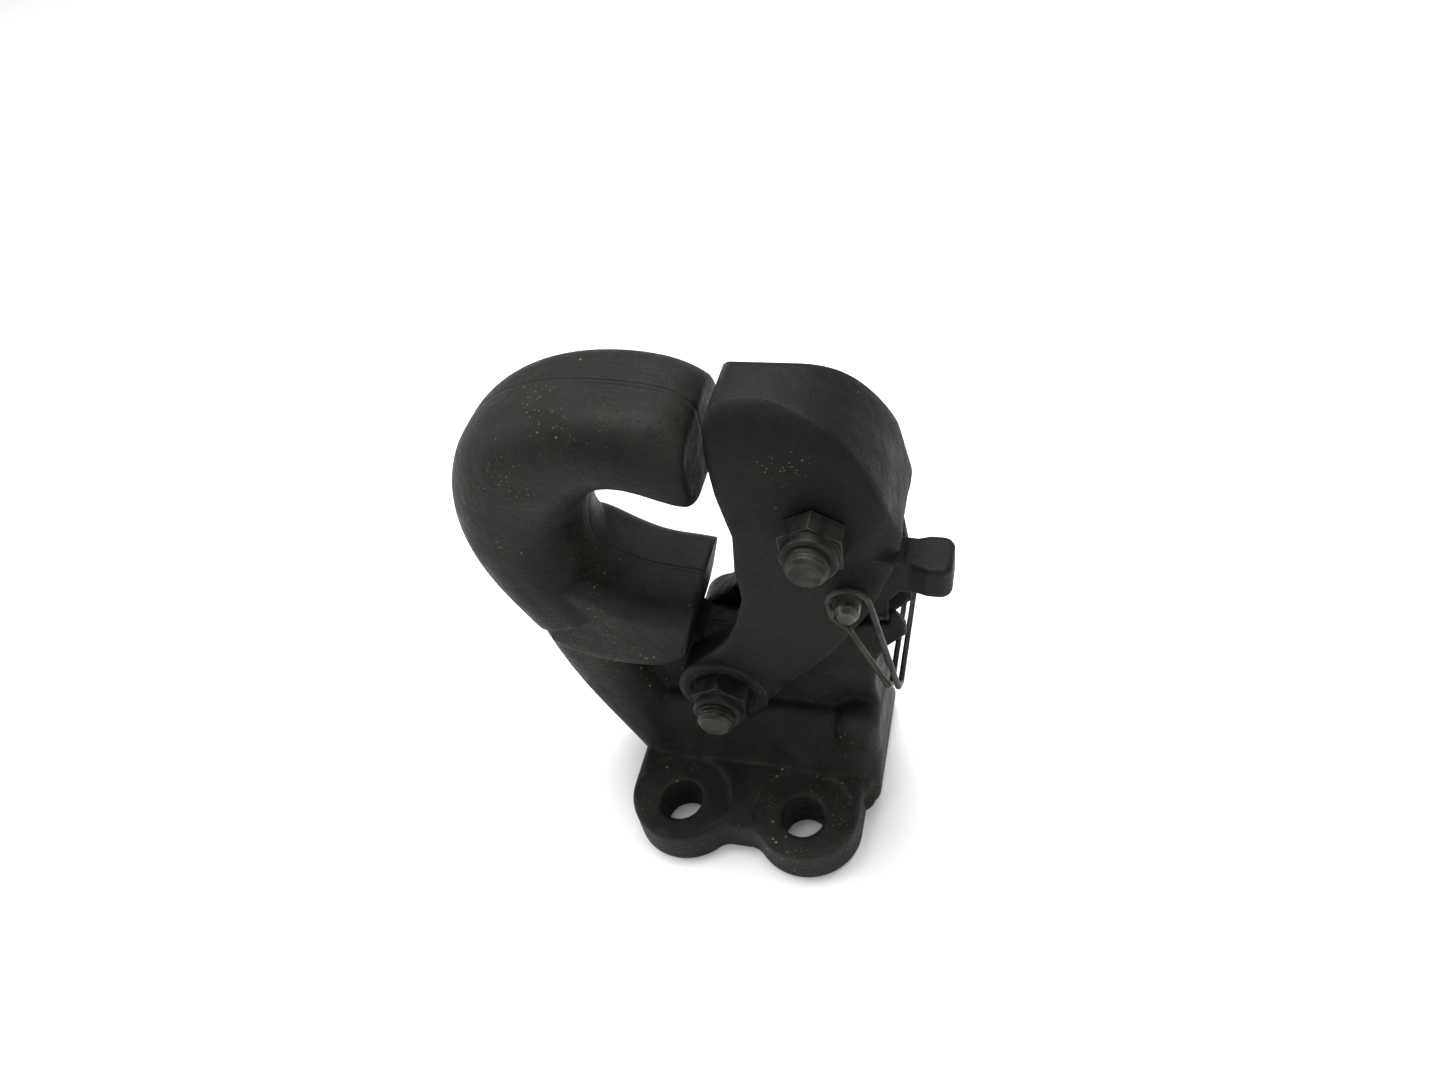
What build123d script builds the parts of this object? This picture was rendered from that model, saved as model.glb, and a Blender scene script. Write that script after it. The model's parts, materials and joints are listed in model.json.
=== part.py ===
from build123d import *

import os
from math import cos, radians, sin

os.makedirs("parts", exist_ok=True)

# Shared frame: the hook stands on its mounting face.
# z = 0 mounting face, +z out of it; y = 0 middle plane; horn on -x, lock handle on +x.

# mounting flange
FLANGE_T = 19.3
HOLE_X = 23.8  # half the short spacing, 1-7/8 in
HOLE_Y = 42.9  # half the long spacing, 3-3/8 in
HOLE_D = 16.67  # 21/32 in clearance for a 5/8 in bolt
LOBE_R = 20.6
LOBE_Y = 38.4
LOBE_X = 24.0
NOTCH_Y = 50.2
NOTCH_R = 7.0
SPOT_R = 19.0
SPOT_Z = 18.3
SPOT_DEPTH = 12.0  # spot faces bite into the root of the base block
FLANGE_BULGE = 3.0
FLANGE_EDGE_R = 3.6
FLANGE_FOOT = 1.5

# pivots, (x, z)
PIVOT = (-5.2, 63.3)
LOCK_PIVOT = (35.2, 148.9)
PIN_AT = (44.4, 122.5)
BOLT_R = 6.35  # 1/2 in bolts
BORE_R = 6.45
PIN_R = 3.95
PIN_BORE_R = 4.05

# half widths across y
WEB_HALF = 9.0
GAP_HALF = 9.5
CHEEK_HALF = 19.5
LOCK_HALF = 6.2
SLOT_HALF = 6.6
HANDLE_HALF = 8.0
BOSS_HALF = 21.8
BOSS_R = 16.5
BOSS_SEAT_R = 12.2
BOSS_SEAT_HALF = 20.9

# horn: outer point, inner point and half width of each section, tip first
HORN_SECTIONS = (
    ((-1.0, 179.8), (-0.8, 154.2), 22.0),
    ((-8.0, 185.6), (-8.2, 153.8), 23.0),
    ((-24.0, 188.6), (-21.0, 159.4), 23.5),
    ((-49.4, 187.8), (-35.0, 155.2), 23.5),
    ((-72.2, 177.2), (-43.4, 143.6), 23.5),
    ((-86.8, 156.8), (-47.6, 132.0), 23.5),
    ((-90.8, 132.0), (-48.5, 121.0), 23.5),
    ((-86.4, 108.5), (-44.0, 111.6), 23.5),
    ((-77.0, 88.0), (-40.0, 101.0), 23.5),
)
HORN_ROUND = 0.86  # corner radius as a share of half the radial thickness

# neck: height, x at the back, x at the front and half width of each level
NECK_LEVELS = (
    (95.0, -79.0, -36.0, 20.5),
    (72.0, -74.2, -38.0, 20.5),
    (46.0, -65.8, -34.0, 20.5),
    (24.0, -56.4, -20.0, 22.0),
    (6.0, -47.5, -10.0, 24.5),
)
NECK_ROUND = 0.42

# saddle: x, underside, top and half width of each section
SADDLE_SECTIONS = (
    (-66.0, 78.0, 106.0, 21.8),
    (-52.0, 71.5, 118.5, 21.8),
    (-40.0, 69.8, 111.6, 21.8),
    (-27.0, 71.0, 106.4, 21.8),
)
LIP_SECTION = ((-18.0, 77.2), (-10.8, 104.2))  # underside and top of the leaning end
LIP_HALF = 21.8
SADDLE_R = 8.5

# side outlines, (x, z)
WEB_OUTLINE = (
    (-44.0, 12.0),
    (-44.0, 84.0),
    (-22.0, 84.0),
    (-14.0, 76.4),
    (4.0, 76.0),
    (24.0, 81.0),
    (38.0, 90.0),
    (46.5, 94.8),
    (54.0, 95.2),
    (54.3, 101.0),
    (55.6, 102.2),
    (57.6, 99.4),
    (59.5, 95.8),
    (59.8, 91.0),
    (53.0, 83.0),
    (49.0, 74.0),
    (48.0, 58.0),
    (50.0, 40.0),
    (50.0, 12.0),
)
BASE_LEVELS = (  # height, x low, x high, half width
    (8.0, -45.0, 50.0, 30.0),
    (18.0, -45.0, 50.0, 24.5),
    (30.0, -42.0, 50.0, 19.5),
    (44.0, -38.0, 50.0, 13.0),
)
RIM_OUTLINE = ((28.0, 20.0), (33.0, 42.0), (39.0, 51.0), (49.9, 48.5), (49.9, 20.0))
RIM_HALF = 19.5

LATCH_BACK = (
    (57.9, 136.0),
    (50.2, 115.3),
    (44.3, 104.6),
    (35.7, 90.7),
    (15.9, 66.4),
    (7.6, 52.9),
    (-18.0, 73.9),
    (-6.9, 83.6),
    (0.2, 92.5),
    (4.6, 102.3),
    (8.6, 116.0),
    (8.0, 130.0),
    (9.6, 146.0),
    (6.0, 162.0),
    (4.8, 174.0),
    (4.6, 185.6),
    (8.6, 190.6),
    (16.0, 191.2),
)
LATCH_CROWN = (
    (16.0, 191.2),
    (27.0, 190.6),
    (38.8, 185.8),
    (48.6, 175.6),
    (55.4, 162.8),
    (59.0, 149.6),
    (57.9, 136.0),
)
LOCK_OUTLINE = (
    (24.6, 142.0),
    (27.6, 117.5),
    (31.6, 113.2),
    (40.4, 105.4),
    (47.4, 96.3),
    (52.9, 96.6),
    (53.8, 104.5),
    (57.5, 110.3),
    (70.0, 111.2),
    (70.0, 122.4),
    (58.0, 123.2),
    (52.0, 131.0),
    (47.4, 143.0),
)
LOCK_HUB_R = 12.4
LOCK_HUB_NEAR = -9.3
LOCK_LIFT = 16.0  # degrees the handle lifts
SWEPT_R = 60.8  # clear radius about the pivot for the lock toe
CLOSED_R = 83.5  # radius about the pivot above which the head is solid

DRAFT_FROM = 146.0
HEAD_TOP = 190.0
CROWN_Y = 14.8
CROWN_Z = 179.0
TAB_X = (64.0, 74.4)
TAB_Z = (110.1, 123.4)

# fasteners
NUT_AF = 19.05
NUT_HEX_H = 7.0
NUT_H = 10.8
NUT_COLLAR_R = 9.0
INSERT_R = 7.9
INSERT_H = 2.6
HEAD_H = 8.1
HEAD_TAPER = 12.0
THREAD_OUT = 4.9

# lock spring, safety pin and wire bail
SPRING_WIRE_R = 0.55
SPRING_PITCH = 1.25
SPRING_R = 8.6
SPRING_TANG = 7.5
PIN_TIP_Y = -29.0
PIN_HEAD_Y = 23.6
PIN_HEAD_R = 6.0
PIN_HEAD_L = 8.0
WIRE_R = 1.0
LOOP_AT = (44.8, 125.0)  # (x, z)
LOOP_R = 6.6
LOOP_Y = -24.9


def side_plane(y):
    """Plane whose sketch reads (x, z), facing the near side, at depth y."""
    return Plane(origin=(0.0, y, 0.0), x_dir=(1, 0, 0), z_dir=(0, -1, 0))


def across(points, half, edge_radius=0.0, corner_radius=0.0):
    """Side outline extruded the same way to both sides of y = 0."""
    with BuildPart() as slab:
        with BuildSketch(Plane.XZ):
            with BuildLine():
                Polyline(*points, close=True)
            make_face()
            if corner_radius > 0.0:
                fillet(vertices(), corner_radius)
        extrude(amount=half, both=True)
        if edge_radius > 0.0:
            flat_ends = slab.faces().filter_by(Axis.Y)
            fillet(flat_ends.edges(), edge_radius)
    return slab.part


# ---------------------------------------------------------------- hook body
with BuildPart() as horn:
    for outer, inner, half_width in HORN_SECTIONS:
        centre = ((outer[0] + inner[0]) / 2.0, 0.0, (outer[1] + inner[1]) / 2.0)
        radial = Vector(outer[0] - inner[0], 0.0, outer[1] - inner[1])
        section = Plane(origin=centre, x_dir=radial, z_dir=radial.cross(Vector(0, 1, 0)))
        with BuildSketch(section):
            RectangleRounded(radial.length, 2.0 * half_width, HORN_ROUND * radial.length / 2.0)
    loft()
    tip_face = horn.faces().filter_by(GeomType.PLANE).sort_by(Axis.Z)[-1]
    fillet(tip_face.edges(), 3.0)

with BuildPart() as saddle:
    for along, low, high, half_width in SADDLE_SECTIONS:
        with BuildSketch(Plane(origin=(along, 0.0, (low + high) / 2.0), x_dir=(0, 1, 0), z_dir=(1, 0, 0))):
            RectangleRounded(2.0 * half_width, high - low, SADDLE_R)
    lip_up = Vector(LIP_SECTION[1][0] - LIP_SECTION[0][0], 0.0, LIP_SECTION[1][1] - LIP_SECTION[0][1])
    lip_x = (LIP_SECTION[0][0] + LIP_SECTION[1][0]) / 2.0
    lip_z = (LIP_SECTION[0][1] + LIP_SECTION[1][1]) / 2.0
    with BuildSketch(Plane(origin=(lip_x, 0.0, lip_z), x_dir=(0, 1, 0), z_dir=Vector(0, 1, 0).cross(lip_up))):
        RectangleRounded(2.0 * LIP_HALF, lip_up.length, SADDLE_R)
    loft()

with BuildPart() as neck:
    for height, back, front, half_width in NECK_LEVELS:
        with BuildSketch(Plane(origin=((back + front) / 2.0, 0.0, height))):
            RectangleRounded(front - back, 2.0 * half_width, NECK_ROUND * (front - back))
    loft()

with BuildPart() as base_block:
    for height, low, high, half_width in BASE_LEVELS:
        with BuildSketch(Plane(origin=((low + high) / 2.0, 0.0, height))):
            RectangleRounded(high - low, 2.0 * half_width, 8.0)
    loft()
    fillet(base_block.faces().sort_by(Axis.Z)[-1].edges(), 4.0)

with BuildPart() as flange:
    with BuildSketch(Plane.XY):
        with GridLocations(2.0 * LOBE_X, 2.0 * LOBE_Y, 2, 2):
            Circle(LOBE_R)
        Rectangle(2.0 * LOBE_X, 2.0 * NOTCH_Y)
        Rectangle(2.0 * (LOBE_X + LOBE_R), 2.0 * LOBE_Y)
        with Locations((FLANGE_BULGE, 0.0)):
            RectangleRounded(2.0 * (LOBE_X + LOBE_R), 1.5 * LOBE_Y, 6.0)
        notch_corners = vertices().filter_by(lambda v: abs(abs(v.Y) - NOTCH_Y) < 0.01)
        fillet(notch_corners, NOTCH_R)
    extrude(amount=FLANGE_T)

web = across(WEB_OUTLINE, WEB_HALF, 1.0, 0.9)
rim = across(RIM_OUTLINE, RIM_HALF, 5.0, 6.0)

with BuildPart() as hook_body:
    add(flange.part)
    flange_top = hook_body.faces().sort_by(Axis.Z)[-1]
    fillet(flange_top.edges(), FLANGE_EDGE_R)
    chamfer(hook_body.faces().sort_by(Axis.Z)[0].edges(), FLANGE_FOOT)
    add(base_block.part)
    add(web)
    add(rim)
    add(neck.part)
    add(saddle.part)
    add(horn.part)
    # spot faces and mounting holes
    with Locations((0.0, 0.0, SPOT_Z)):
        with GridLocations(2.0 * HOLE_X, 2.0 * HOLE_Y, 2, 2):
            Cylinder(SPOT_R, SPOT_DEPTH, align=(Align.CENTER, Align.CENTER, Align.MIN), mode=Mode.SUBTRACT)
    with GridLocations(2.0 * HOLE_X, 2.0 * HOLE_Y, 2, 2):
        Cylinder(HOLE_D / 2.0, 3.0 * FLANGE_T, mode=Mode.SUBTRACT)
    # pivot bore
    with BuildSketch(Plane.XZ):
        with Locations(PIVOT):
            Circle(BORE_R)
    extrude(amount=2.0 * WEB_HALF, both=True, mode=Mode.SUBTRACT)
    # keeper slot for the lock toe
    with BuildSketch(Plane.XZ):
        with Locations(PIVOT):
            Circle(2.0 * SWEPT_R)
            Circle(SWEPT_R, mode=Mode.SUBTRACT)
        with Locations((60.0, 90.0)):
            Rectangle(46.0, 60.0, mode=Mode.INTERSECT)
    extrude(amount=SLOT_HALF, both=True, mode=Mode.SUBTRACT)
    hook_body.part.label = "hook_body"
export_step(hook_body.part, "parts/hook_body.step")


# ---------------------------------------------------------------- latch
with BuildPart() as latch:
    with BuildSketch(Plane.XZ):
        with BuildLine():
            Polyline(*LATCH_BACK)
            Spline(*LATCH_CROWN, tangents=((1.0, 0.0), (-0.35, -0.94)))
        make_face()
        fillet(vertices().filter_by(lambda v: 80.0 < v.Y < 170.0 and v.X < 55.0), 5.0)
        fillet(vertices().filter_by(lambda v: v.Y > 171.0 and v.X < 10.0), 6.0)
    extrude(amount=CHEEK_HALF, both=True)
    # drafted sides and rounded crown of the head
    for side in (-1, 1):
        with BuildSketch(Plane.YZ):
            with BuildLine():
                Spline(
                    (side * (CHEEK_HALF + 0.3), DRAFT_FROM - 4.0),
                    (side * (CROWN_Y + 1.6), CROWN_Z - 9.0),
                    (side * (CROWN_Y - 1.4), CROWN_Z + 5.0),
                    (side * (CROWN_Y - 8.5), HEAD_TOP + 1.7),
                    tangents=((-0.04 * side, 1.0), (-1.0 * side, 0.25)),
                )
                Polyline(
                    (side * (CROWN_Y - 8.5), HEAD_TOP + 1.7),
                    (side * (CROWN_Y - 8.5), HEAD_TOP + 9.0),
                    (side * (CHEEK_HALF + 5.0), HEAD_TOP + 9.0),
                    (side * (CHEEK_HALF + 5.0), DRAFT_FROM - 4.0),
                    (side * (CHEEK_HALF + 0.3), DRAFT_FROM - 4.0),
                )
            make_face()
        extrude(amount=120.0, both=True, mode=Mode.SUBTRACT)
        with BuildSketch(Plane.XY.offset(LOCK_PIVOT[1] - 9.0)):
            with BuildLine():
                ThreePointArc((46.0, side * (CHEEK_HALF + 0.3)), (57.5, side * 16.4), (64.0, side * 7.0))
                Polyline(
                    (64.0, side * 7.0),
                    (75.0, side * 7.0),
                    (75.0, side * 26.0),
                    (46.0, side * 26.0),
                    (46.0, side * (CHEEK_HALF + 0.3)),
                )
            make_face()
        extrude(amount=80.0, mode=Mode.SUBTRACT)
    with BuildSketch(Plane.XZ):
        with Locations(PIVOT):
            Circle(BOSS_R)
    extrude(amount=CHEEK_HALF, both=True)
    # pivot bosses with a shallow seat for the nut and the bolt head
    for side in (-1, 1):
        with BuildSketch(side_plane(side * (CHEEK_HALF - 1.0))):
            with Locations(PIVOT):
                Circle(BOSS_R)
        extrude(amount=-side * (BOSS_HALF - CHEEK_HALF + 1.0))
        with BuildSketch(side_plane(side * BOSS_SEAT_HALF)):
            with Locations(PIVOT):
                Circle(BOSS_SEAT_R)
        extrude(amount=-side * 5.0, mode=Mode.SUBTRACT)
    # gap between the cheeks
    with BuildSketch(Plane.XZ):
        with Locations(PIVOT):
            Circle(CLOSED_R)
        with Locations(LOCK_PIVOT):
            Circle(LOCK_HUB_R + 1.2)
        with BuildLine():
            Polyline((20.0, 120.0), (21.5, 150.0), (49.5, 152.0), (70.0, 140.0), (70.0, 100.0), close=True)
        make_face()
    extrude(amount=GAP_HALF, both=True, mode=Mode.SUBTRACT)
    with BuildSketch(Plane.XZ):
        with Locations(PIVOT, LOCK_PIVOT):
            Circle(BORE_R)
        with Locations(PIN_AT):
            Circle(PIN_BORE_R)
    extrude(amount=2.0 * CHEEK_HALF, both=True, mode=Mode.SUBTRACT)
    latch.part.label = "latch"
export_step(latch.part, "parts/latch.step")

# ---------------------------------------------------------------- lock lever
with BuildPart() as thumb_tab:
    with BuildSketch(Plane.XY.offset(TAB_Z[0])):
        with BuildLine():
            Polyline(
                (58.0, -LOCK_HALF + 0.8),
                (TAB_X[0] + 2.5, -HANDLE_HALF),
                (TAB_X[1], -HANDLE_HALF),
                (TAB_X[1], HANDLE_HALF),
                (TAB_X[0] + 2.5, HANDLE_HALF),
                (58.0, LOCK_HALF - 0.8),
                close=True,
            )
        make_face()
        fillet(vertices().filter_by(lambda v: v.X > 70.0), 4.0)
    extrude(amount=TAB_Z[1] - TAB_Z[0])
    fillet(thumb_tab.faces().filter_by(Axis.Z).edges(), 1.8)

with BuildPart() as lock_lever:
    with BuildSketch(Plane.XZ):
        with BuildLine():
            Polyline(*LOCK_OUTLINE, close=True)
        make_face()
        with Locations(LOCK_PIVOT):
            Circle(LOCK_HUB_R)
    extrude(amount=LOCK_HALF, both=True)
    add(thumb_tab.part)
    # hub reaches the near cheek, the spring sits on the far side
    with BuildSketch(side_plane(-LOCK_HALF)):
        with Locations(LOCK_PIVOT):
            Circle(LOCK_HUB_R - 1.4)
    extrude(amount=-LOCK_HUB_NEAR - LOCK_HALF)
    with BuildSketch(Plane.XZ):
        with Locations(LOCK_PIVOT):
            Circle(BORE_R)
    extrude(amount=2.0 * CHEEK_HALF, both=True, mode=Mode.SUBTRACT)
    # arc slot for the safety pin, long enough for the handle to lift
    pin_arm = Vector(PIN_AT[0] - LOCK_PIVOT[0], PIN_AT[1] - LOCK_PIVOT[1], 0.0)
    with BuildSketch(Plane.XZ):
        for lift in range(0, int(LOCK_LIFT) + 2, 1):
            turn = radians(-lift)
            slot_x = LOCK_PIVOT[0] + pin_arm.X * cos(turn) - pin_arm.Y * sin(turn)
            slot_z = LOCK_PIVOT[1] + pin_arm.X * sin(turn) + pin_arm.Y * cos(turn)
            with Locations((slot_x, slot_z)):
                Circle(PIN_BORE_R + 0.25)
    extrude(amount=2.0 * CHEEK_HALF, both=True, mode=Mode.SUBTRACT)
    lock_lever.part.label = "lock_lever"
export_step(lock_lever.part, "parts/lock_lever.step")


# ---------------------------------------------------------------- fasteners
def place(part, label):
    """Give the piece its name and write its file."""
    part.label = label
    export_step(part, f"parts/{label}.step")


for name, at, seat in (("pivot", PIVOT, BOSS_SEAT_HALF), ("lock", LOCK_PIVOT, CHEEK_HALF)):
    end = -(seat + NUT_H + THREAD_OUT)
    with BuildPart() as bolt:
        with BuildSketch(side_plane(seat)):
            with Locations(at):
                RegularPolygon(NUT_AF / 2.0, 6, major_radius=False, rotation=30.0)
        extrude(amount=-HEAD_H)
        with BuildSketch(side_plane(seat + HEAD_H)):
            with Locations(at):
                Circle(NUT_AF / 2.0)
        extrude(amount=HEAD_H, mode=Mode.INTERSECT, taper=-HEAD_TAPER)
        with BuildSketch(side_plane(seat)):
            with Locations(at):
                Circle(BOLT_R)
        extrude(amount=seat - end)
        chamfer(bolt.edges().sort_by(Axis.Y)[0], 1.4)
    place(bolt.part, f"{name}_bolt")
    with BuildPart() as nut:
        with BuildSketch(side_plane(-seat)):
            with Locations(at):
                RegularPolygon(NUT_AF / 2.0, 6, major_radius=False, rotation=30.0)
        extrude(amount=NUT_HEX_H)
        with BuildSketch(side_plane(-seat)):
            with Locations(at):
                Circle(NUT_COLLAR_R)
        extrude(amount=NUT_H)
        fillet(nut.edges().filter_by(GeomType.CIRCLE).sort_by(Axis.Y)[0], 1.2)
        with BuildSketch(side_plane(-seat)):
            with Locations(at):
                Circle(BOLT_R)
        extrude(amount=NUT_H, mode=Mode.SUBTRACT)
        with BuildSketch(side_plane(-seat - NUT_H + INSERT_H)):
            with Locations(at):
                Circle(INSERT_R)
        extrude(amount=INSERT_H - 0.6, mode=Mode.SUBTRACT)
    place(nut.part, f"{name}_nut")
    with BuildPart() as insert:
        with BuildSketch(side_plane(-seat - NUT_H + INSERT_H)):
            with Locations(at):
                Circle(INSERT_R)
                Circle(BOLT_R, mode=Mode.SUBTRACT)
        extrude(amount=INSERT_H - 0.6)
    place(insert.part, f"{name}_nut_insert")

# ---------------------------------------------------------------- lock spring
with BuildPart() as lock_spring:
    with BuildLine():
        coil = Helix(
            pitch=SPRING_PITCH,
            height=1.5 * SPRING_PITCH,
            radius=SPRING_R,
            center=(LOCK_PIVOT[0], LOCK_HALF + SPRING_WIRE_R + 0.22, LOCK_PIVOT[1]),
            direction=(0, 1, 0),
        )
    with BuildSketch(Plane(origin=coil @ 0, z_dir=coil % 0)):
        Circle(SPRING_WIRE_R)
    sweep(path=coil)
    for end, away in ((coil @ 0, coil % 0 * -1), (coil @ 1, coil % 1)):
        with BuildSketch(Plane(origin=end, z_dir=away)):
            Circle(SPRING_WIRE_R)
        extrude(amount=SPRING_TANG)
place(lock_spring.part, "lock_spring")

# ---------------------------------------------------------------- safety pin and wire bail
across_pin = Vector(0.957, 0.0, 0.290)
pin_centre = Vector(PIN_AT[0], PIN_HEAD_Y, PIN_AT[1])
with BuildPart() as safety_pin:
    with BuildSketch(side_plane(CHEEK_HALF + 0.1)):
        with Locations(PIN_AT):
            Circle(PIN_R)
    extrude(amount=CHEEK_HALF + 0.1 - PIN_TIP_Y)
    chamfer(safety_pin.edges().sort_by(Axis.Y)[0], 2.2, 1.3)
    with BuildSketch(side_plane(CHEEK_HALF + 0.1)):
        with Locations(PIN_AT):
            Circle(PIN_HEAD_R)
    extrude(amount=-PIN_HEAD_L)
    fillet(safety_pin.edges().filter_by(GeomType.CIRCLE).sort_by(Axis.Y)[-1], 1.5)
    with BuildSketch(Plane(origin=pin_centre - across_pin * 10.0, z_dir=across_pin)):
        Circle(WIRE_R + 0.1)
    extrude(amount=20.0, mode=Mode.SUBTRACT)
place(safety_pin.part, "safety_pin")

loop_arc = [
    (LOOP_AT[0] + LOOP_R * cos(radians(angle)), LOOP_Y, LOOP_AT[1] + LOOP_R * sin(radians(angle)))
    for angle in range(0, 181, 30)
]
bail_path = [
    tuple(pin_centre + across_pin * 3.0),
    tuple(pin_centre + across_pin * 9.5),
    (58.6, -LOOP_Y - 1.0, 82.0),
    (59.0, 20.0, 79.0),
    (59.0, -20.0, 79.0),
    (58.8, LOOP_Y + 0.3, 83.0),
    *loop_arc,
    (39.0, LOOP_Y, 118.0),
    (44.2, LOOP_Y, 112.0),
    (55.6, LOOP_Y + 0.3, 83.0),
    (56.0, -20.0, 78.2),
    (56.0, 20.0, 78.2),
    (55.4, -LOOP_Y - 1.0, 82.0),
    (39.5, PIN_HEAD_Y, 114.0),
    tuple(pin_centre - across_pin * 9.0),
    tuple(pin_centre - across_pin * 3.0),
]
with BuildPart() as wire_bail:
    with BuildLine():
        wire_line = FilletPolyline(*bail_path, radius=1.6)
    with BuildSketch(Plane(origin=wire_line @ 0, z_dir=wire_line % 0)):
        Circle(WIRE_R)
    sweep(path=wire_line)
place(wire_bail.part, "wire_bail")
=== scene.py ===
import json
from math import cos, pi, radians, sin

import bpy
from mathutils import Matrix, Vector


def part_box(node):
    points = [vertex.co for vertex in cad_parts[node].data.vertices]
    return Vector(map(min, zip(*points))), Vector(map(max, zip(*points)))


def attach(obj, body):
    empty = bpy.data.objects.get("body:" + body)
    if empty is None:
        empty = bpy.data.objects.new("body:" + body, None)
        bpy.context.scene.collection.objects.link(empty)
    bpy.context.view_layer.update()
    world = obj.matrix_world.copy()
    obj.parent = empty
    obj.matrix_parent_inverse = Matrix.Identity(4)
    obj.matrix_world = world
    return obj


# metres; the frame is the hook's own: z = 0 mounting face, horn on -x, nuts on -y
SPECULAR = 0.11  # the coating is almost matt

# bump depths and the widths of rounded or rubbed edges
FORGED_DEPTH = 0.0024
MACHINED_DEPTH = 0.0005
MACHINED_EDGE = 0.00045
RUBBED_EDGE = 0.0016

# linear colours
COATING_DARK = (0.0042, 0.0045, 0.0037)
COATING_LIGHT = (0.0125, 0.0131, 0.0108)
RUBBED = (0.040, 0.039, 0.034, 1.0)
DUST = (0.17, 0.155, 0.11, 1.0)

# thread ridge on the bolt ends, 13 turns to the inch
THREAD_ROOT = 0.00628
THREAD_CREST = 0.00664
THREAD_PITCH = 0.001954
THREAD_STEPS = 64  # per turn
THREAD_PROFILE = ((0.0, -0.00080), (0.85, -0.00016), (1.0, 0.0), (0.85, 0.00016), (0.0, 0.00080))
THREAD_INSIDE_NUT = 0.0006
THREAD_TO_CHAMFER = 0.0019

# camera: close, above and to the right, slightly rolled
AZIMUTH = radians(22.43)
ELEVATION = radians(46.39)
ROLL = radians(12.38)
CAMERA_PLACE = (0.0907, -0.2242, 0.3757)
LENS = 26.1
SENSOR = 36.0

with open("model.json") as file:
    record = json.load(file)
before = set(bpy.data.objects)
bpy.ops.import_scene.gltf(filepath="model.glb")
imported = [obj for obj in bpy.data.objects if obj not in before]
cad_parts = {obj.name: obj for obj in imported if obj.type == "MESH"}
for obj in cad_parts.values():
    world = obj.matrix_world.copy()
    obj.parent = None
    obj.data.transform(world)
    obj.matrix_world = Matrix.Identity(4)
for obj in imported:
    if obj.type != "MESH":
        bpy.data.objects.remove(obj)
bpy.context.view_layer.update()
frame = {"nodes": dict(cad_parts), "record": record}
nodes = frame["nodes"]


# ---------------------------------------------------------------- node helpers
class Tree:
    """Builds one material's node tree from short calls."""

    def __init__(self, name):
        self.material = bpy.data.materials.new(name)
        self.material.use_nodes = True
        self.nodes = self.material.node_tree.nodes
        self.links = self.material.node_tree.links
        self.nodes.clear()
        self.out = self.nodes.new("ShaderNodeOutputMaterial")
        self.shader = self.nodes.new("ShaderNodeBsdfPrincipled")
        self.links.new(self.shader.outputs[0], self.out.inputs[0])
        self.coord = self.nodes.new("ShaderNodeTexCoord").outputs["Object"]

    def put(self, target, value):
        """Links an output or sets a constant."""
        if isinstance(value, bpy.types.NodeSocket):
            self.links.new(value, target)
        else:
            target.default_value = value

    def noise(self, scale, detail=4.0, rough=0.55, stretch=None):
        node = self.nodes.new("ShaderNodeTexNoise")
        coord = self.coord
        if stretch:
            mapping = self.nodes.new("ShaderNodeMapping")
            mapping.inputs["Scale"].default_value = stretch
            self.links.new(coord, mapping.inputs[0])
            coord = mapping.outputs[0]
        self.links.new(coord, node.inputs["Vector"])
        node.inputs["Scale"].default_value = scale
        node.inputs["Detail"].default_value = detail
        node.inputs["Roughness"].default_value = rough
        return node.outputs[0]

    def cells(self, scale):
        node = self.nodes.new("ShaderNodeTexVoronoi")
        self.links.new(self.coord, node.inputs["Vector"])
        node.inputs["Scale"].default_value = scale
        return node.outputs["Distance"]

    def math(self, kind, a, b=0.0):
        node = self.nodes.new("ShaderNodeMath")
        node.operation = kind
        self.put(node.inputs[0], a)
        self.put(node.inputs[1], b)
        return node.outputs[0]

    def ramp(self, value, low, high, to_low=0.0, to_high=1.0, smooth=True):
        node = self.nodes.new("ShaderNodeMapRange")
        node.interpolation_type = "SMOOTHSTEP" if smooth else "LINEAR"
        self.put(node.inputs["Value"], value)
        node.inputs["From Min"].default_value = low
        node.inputs["From Max"].default_value = high
        node.inputs["To Min"].default_value = to_low
        node.inputs["To Max"].default_value = to_high
        return node.outputs[0]

    def mix(self, factor, a, b):
        node = self.nodes.new("ShaderNodeMix")
        node.data_type = "RGBA"
        self.put(node.inputs[0], factor)
        self.put(node.inputs[6], a)
        self.put(node.inputs[7], b)
        return node.outputs[2]

    def bevel(self, radius, samples=6):
        node = self.nodes.new("ShaderNodeBevel")
        node.samples = samples
        node.inputs["Radius"].default_value = radius
        return node.outputs[0]

    def edges(self, radius):
        """1 on a sharp edge, 0 on open surface."""
        dot = self.nodes.new("ShaderNodeVectorMath")
        dot.operation = "DOT_PRODUCT"
        self.links.new(self.bevel(radius), dot.inputs[0])
        geometry = self.nodes.new("ShaderNodeNewGeometry")
        self.links.new(geometry.outputs["Normal"], dot.inputs[1])
        return self.ramp(dot.outputs["Value"], 0.995, 0.90)

    def axis(self, index):
        node = self.nodes.new("ShaderNodeSeparateXYZ")
        self.links.new(self.coord, node.inputs[0])
        return node.outputs[index]

    def bump(self, height, strength, distance, normal=None):
        node = self.nodes.new("ShaderNodeBump")
        node.inputs["Strength"].default_value = strength
        node.inputs["Distance"].default_value = distance
        self.links.new(height, node.inputs["Height"])
        if normal is not None:
            self.links.new(normal, node.inputs["Normal"])
        return node.outputs[0]

    def finish(self, color, rough, metal, normal):
        self.put(self.shader.inputs["Base Color"], color)
        self.put(self.shader.inputs["Roughness"], rough)
        self.put(self.shader.inputs["Metallic"], metal)
        self.links.new(normal, self.shader.inputs["Normal"])
        self.shader.inputs["Specular IOR Level"].default_value = SPECULAR
        return self.material


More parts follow.
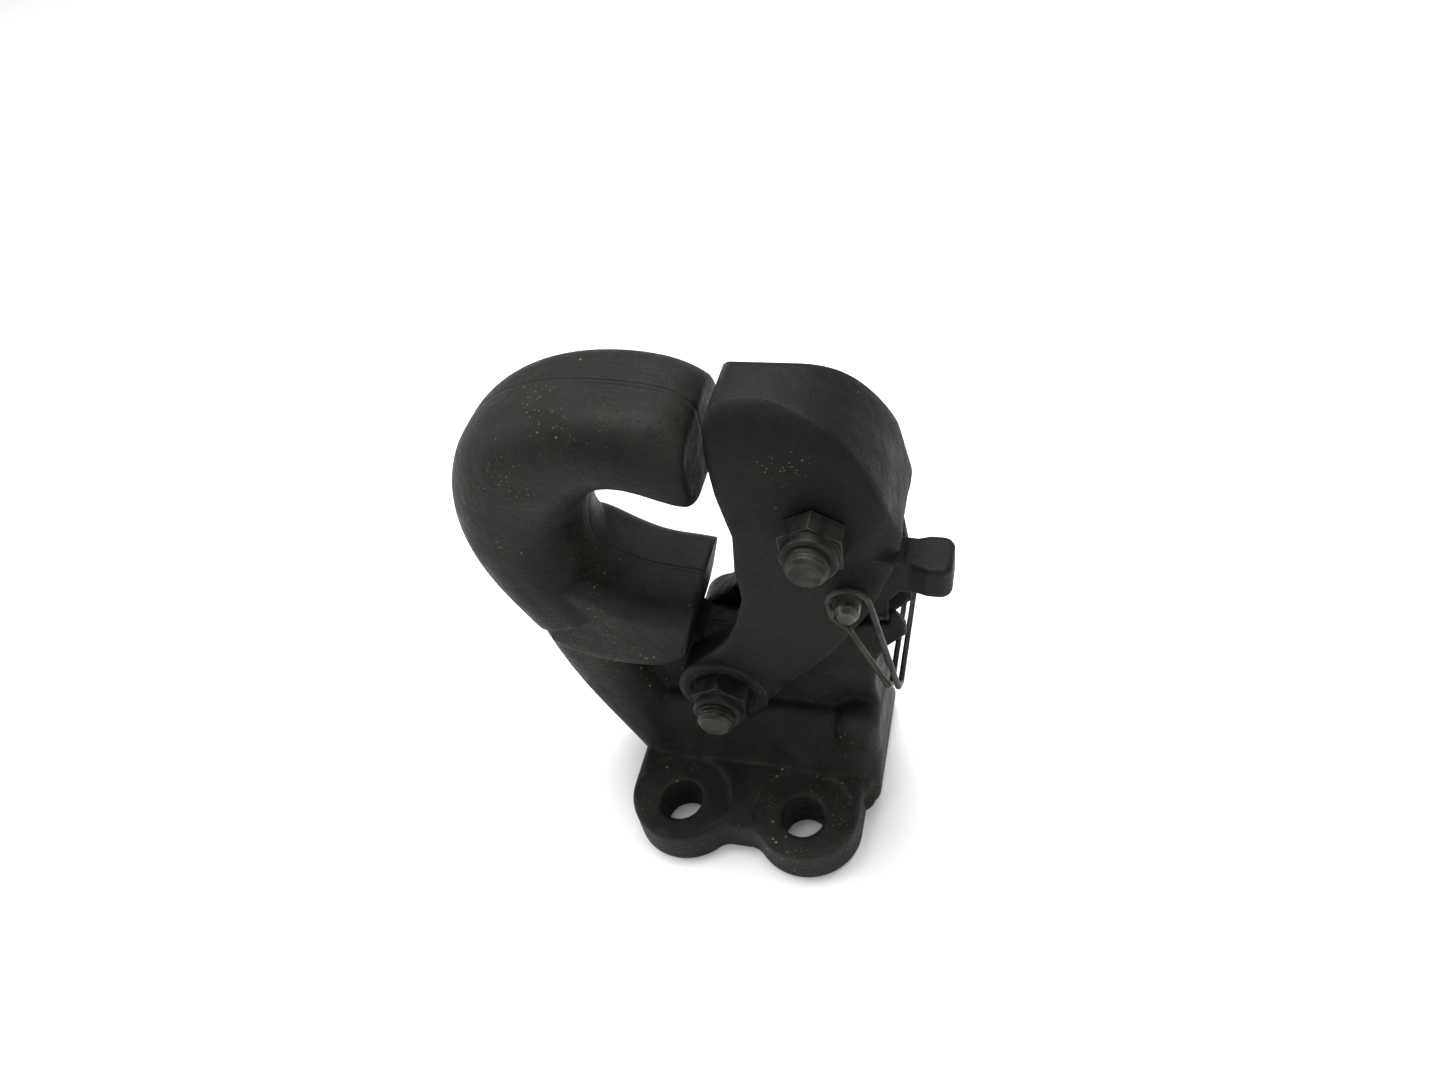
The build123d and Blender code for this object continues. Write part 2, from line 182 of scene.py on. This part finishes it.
def forged(name, dark, light, round_edges, dust, parting=False, seed_scale=1.0):
    """Black-coated forging: scale texture, rubbed edges, pale dust specks."""
    t = Tree(name)
    broad = t.noise(18.0 * seed_scale, 5.0, 0.6)
    blotch = t.noise(85.0 * seed_scale, 6.0, 0.65)
    grain = t.noise(900.0, 3.0, 0.6)
    pits = t.cells(420.0 * seed_scale)
    tone = t.math("ADD", t.math("MULTIPLY", broad, 0.55), t.math("MULTIPLY", blotch, 0.45))
    color = t.mix(t.ramp(tone, 0.38, 0.64), (*dark, 1.0), (*light, 1.0))
    wear = t.math("MULTIPLY", t.edges(RUBBED_EDGE), t.ramp(blotch, 0.42, 0.66))
    color = t.mix(t.math("MULTIPLY", wear, 0.55), color, RUBBED)
    large_patch = t.ramp(t.noise(48.0, 3.0), 0.60 - dust, 0.70 - dust)
    speck = t.math("MULTIPLY", t.ramp(t.cells(260.0), 0.15, 0.09), large_patch)
    small_patch = t.ramp(t.noise(33.0, 2.0), 0.60 - dust, 0.72 - dust)
    fine = t.math("MULTIPLY", t.ramp(t.cells(620.0), 0.20, 0.12), small_patch)
    spots = t.math("MAXIMUM", speck, t.math("MULTIPLY", fine, 0.7))
    color = t.mix(t.math("MULTIPLY", spots, 0.7), color, DUST)
    gloss = t.math("ADD", t.math("MULTIPLY", blotch, 0.7), t.math("MULTIPLY", grain, 0.3))
    rough = t.ramp(gloss, 0.3, 0.7, 0.46, 0.70)
    height = t.math("ADD", t.math("MULTIPLY", broad, 1.0), t.math("MULTIPLY", blotch, 0.34))
    height = t.math("ADD", height, t.math("MULTIPLY", grain, 0.05))
    height = t.math("SUBTRACT", height, t.math("MULTIPLY", t.ramp(pits, 0.22, 0.06), 0.12))
    if parting:
        line = t.ramp(t.math("ABSOLUTE", t.axis(1)), 0.0012, 0.0004)
        height = t.math("SUBTRACT", height, t.math("MULTIPLY", line, 0.5))
    orange_peel = t.ramp(t.noise(230.0, 2.0, 0.5), 0.35, 0.65)
    height = t.math("ADD", height, t.math("MULTIPLY", orange_peel, 0.06))
    normal = t.bump(height, 0.6, FORGED_DEPTH, t.bevel(round_edges, 8))
    return t.finish(color, rough, 0.0, normal)


def machined(name, dark, light, metal, rough_low, rough_high, rub, edge_tone=0.30):
    """Fastener steel: turned streaks, bright rubbed edges."""
    t = Tree(name)
    streak = t.noise(420.0, 4.0, 0.6, (1.0, 0.25, 1.0))
    blotch = t.noise(150.0, 5.0, 0.6)
    color = t.mix(t.ramp(blotch, 0.36, 0.66), (*dark, 1.0), (*light, 1.0))
    wear = t.math("MULTIPLY", t.edges(0.0005), t.ramp(blotch, 0.34, 0.60))
    edge_color = (edge_tone, edge_tone * 0.97, edge_tone * 0.88, 1.0)
    color = t.mix(t.math("MULTIPLY", wear, rub), color, edge_color)
    rough = t.ramp(streak, 0.3, 0.7, rough_low, rough_high)
    height = t.math("ADD", t.math("MULTIPLY", streak, 0.4), t.math("MULTIPLY", blotch, 0.5))
    normal = t.bump(height, 0.4, MACHINED_DEPTH, t.bevel(MACHINED_EDGE, 6))
    return t.finish(color, rough, metal, normal)


def nylon(name):
    """Dark plastic of the lock nuts' rings."""
    t = Tree(name)
    speck = t.noise(300.0, 3.0)
    color = t.mix(speck, (0.010, 0.0102, 0.0092, 1.0), (0.022, 0.022, 0.0195, 1.0))
    rough = t.ramp(speck, 0.3, 0.7, 0.45, 0.6)
    return t.finish(color, rough, 0.0, t.bump(speck, 0.3, 0.0004, t.bevel(0.0003, 4)))


finishes = {
    "forging": forged("forging", COATING_DARK, COATING_LIGHT, 0.0035, 0.04, True),
    "forging_latch": forged(
        "forging_latch", (0.0040, 0.0042, 0.0037), (0.0090, 0.0094, 0.0081), 0.0050, -0.03, False, 1.15
    ),
    "forging_lock": forged(
        "forging_lock", (0.0048, 0.0050, 0.0044), (0.0130, 0.0135, 0.0118), 0.0016, 0.0, False, 1.3
    ),
    "bolt_steel": machined(
        "bolt_steel", (0.012, 0.0125, 0.0108), (0.030, 0.030, 0.026), 0.5, 0.36, 0.54, 0.7, 0.12
    ),
    "nut_steel": machined(
        "nut_steel", (0.008, 0.0083, 0.0072), (0.019, 0.0193, 0.0168), 0.4, 0.38, 0.56, 0.6, 0.09
    ),
    "nylon": nylon("nylon"),
    "spring_steel": machined(
        "spring_steel", (0.02, 0.02, 0.018), (0.05, 0.05, 0.044), 0.7, 0.3, 0.45, 0.5
    ),
    "pin_steel": machined(
        "pin_steel", (0.030, 0.030, 0.026), (0.085, 0.083, 0.073), 0.6, 0.3, 0.48, 0.8, 0.2
    ),
    "wire_steel": machined(
        "wire_steel", (0.014, 0.014, 0.0125), (0.036, 0.0355, 0.031), 0.5, 0.32, 0.46, 0.6, 0.12
    ),
}
slots = {piece["node"]: piece["material_slot"] for piece in frame["record"]["subparts"]}
for name, node in nodes.items():
    node.data.materials.clear()
    node.data.materials.append(finishes[slots[name]])
    for polygon in node.data.polygons:
        polygon.material_index = 0

# ---------------------------------------------------------------- bolt threads
def thread(name, axis_x, axis_z, start_y, end_y, body):
    """Helical ridge round the bolt end that stands out of the nut."""
    turns = abs(end_y - start_y) / THREAD_PITCH
    count = int(turns * THREAD_STEPS)
    points = []
    for i in range(count + 1):
        share = i / count
        angle = 2.0 * pi * turns * share
        middle_y = start_y + (end_y - start_y) * share
        fade = min(1.0, share * 8.0, (1.0 - share) * 5.0)
        for rise, along in THREAD_PROFILE:
            radius = THREAD_ROOT + (THREAD_CREST - THREAD_ROOT) * rise * fade
            points.append((axis_x + radius * cos(angle), middle_y + along, axis_z + radius * sin(angle)))
    width = len(THREAD_PROFILE)
    faces = []
    for i in range(count):
        for j in range(width - 1):
            corner = i * width + j
            faces.append((corner, corner + 1, corner + width + 1, corner + width))
    mesh = bpy.data.meshes.new(name)
    mesh.from_pydata(points, [], faces)
    mesh.materials.append(finishes["bolt_steel"])
    for polygon in mesh.polygons:
        polygon.use_smooth = True
    ridge = bpy.data.objects.new(name, mesh)
    bpy.context.scene.collection.objects.link(ridge)
    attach(ridge, body)


carriers = {}
for body_name, members in frame["record"]["behaviour"]["bodies"].items():
    for member in members:
        carriers[member] = body_name
for bolt_name in ("pivot_bolt", "lock_bolt"):
    low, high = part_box(bolt_name)
    nut_low, nut_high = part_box(bolt_name.replace("bolt", "nut"))
    bolt_x = (low.x + high.x) / 2.0
    bolt_z = (low.z + high.z) / 2.0
    thread(
        bolt_name + "_thread",
        bolt_x,
        bolt_z,
        nut_low.y + THREAD_INSIDE_NUT,
        low.y + THREAD_TO_CHAMFER,
        carriers[bolt_name],
    )

# ---------------------------------------------------------------- floor, light, camera
bpy.ops.mesh.primitive_plane_add(size=6.0, location=(0.0, 0.0, -0.0004))
floor = bpy.context.object
floor.name = "floor"
ground = Tree("floor_paint")
cloud = ground.noise(3.0, 3.0)
tint = ground.mix(cloud, (0.86, 0.86, 0.855, 1.0), (0.90, 0.90, 0.895, 1.0))
floor_normal = ground.bump(ground.noise(140.0, 3.0), 0.05, 0.0005)
floor.data.materials.append(ground.finish(tint, 0.75, 0.0, floor_normal))


def area_light(name, place, target, size, power, color=(1.0, 1.0, 1.0)):
    """Soft square light aimed at a point."""
    data = bpy.data.lights.new(name, "AREA")
    data.shape = "SQUARE"
    data.size = size
    data.energy = power
    data.color = color
    lamp = bpy.data.objects.new(name, data)
    bpy.context.scene.collection.objects.link(lamp)
    lamp.location = place
    lamp.rotation_euler = (Vector(target) - Vector(place)).to_track_quat("-Z", "Y").to_euler()


middle = (0.0, 0.0, 0.10)
area_light("overhead", (-0.10, 0.35, 1.25), middle, 0.8, 24.0)
area_light("front_fill", (0.9, -1.3, 0.75), middle, 1.0, 8.0, (1.0, 0.99, 0.97))
area_light("left_rim", (-1.2, -0.2, 0.7), middle, 0.7, 7.0, (0.97, 0.99, 1.0))

world = bpy.data.worlds.new("studio")
world.use_nodes = True
world.node_tree.nodes["Background"].inputs[0].default_value = (1.0, 1.0, 1.0, 1.0)
world.node_tree.nodes["Background"].inputs[1].default_value = 0.7
bpy.context.scene.world = world
bpy.context.scene.view_settings.view_transform = "Standard"

# camera
forward = Vector((-sin(AZIMUTH) * cos(ELEVATION), cos(AZIMUTH) * cos(ELEVATION), -sin(ELEVATION)))
level_right = Vector((cos(AZIMUTH), sin(AZIMUTH), 0.0))
level_down = forward.cross(level_right)
right = level_right * cos(ROLL) + level_down * sin(ROLL)
up = -(level_down * cos(ROLL) - level_right * sin(ROLL))
camera_data = bpy.data.cameras.new("camera")
camera_data.sensor_width = SENSOR
camera_data.lens = LENS
camera_data.clip_start = 0.01
camera = bpy.data.objects.new("camera", camera_data)
bpy.context.scene.collection.objects.link(camera)
camera.matrix_world = Matrix(
    (
        (right.x, up.x, -forward.x, CAMERA_PLACE[0]),
        (right.y, up.y, -forward.y, CAMERA_PLACE[1]),
        (right.z, up.z, -forward.z, CAMERA_PLACE[2]),
        (0.0, 0.0, 0.0, 1.0),
    )
)
bpy.context.scene.camera = camera
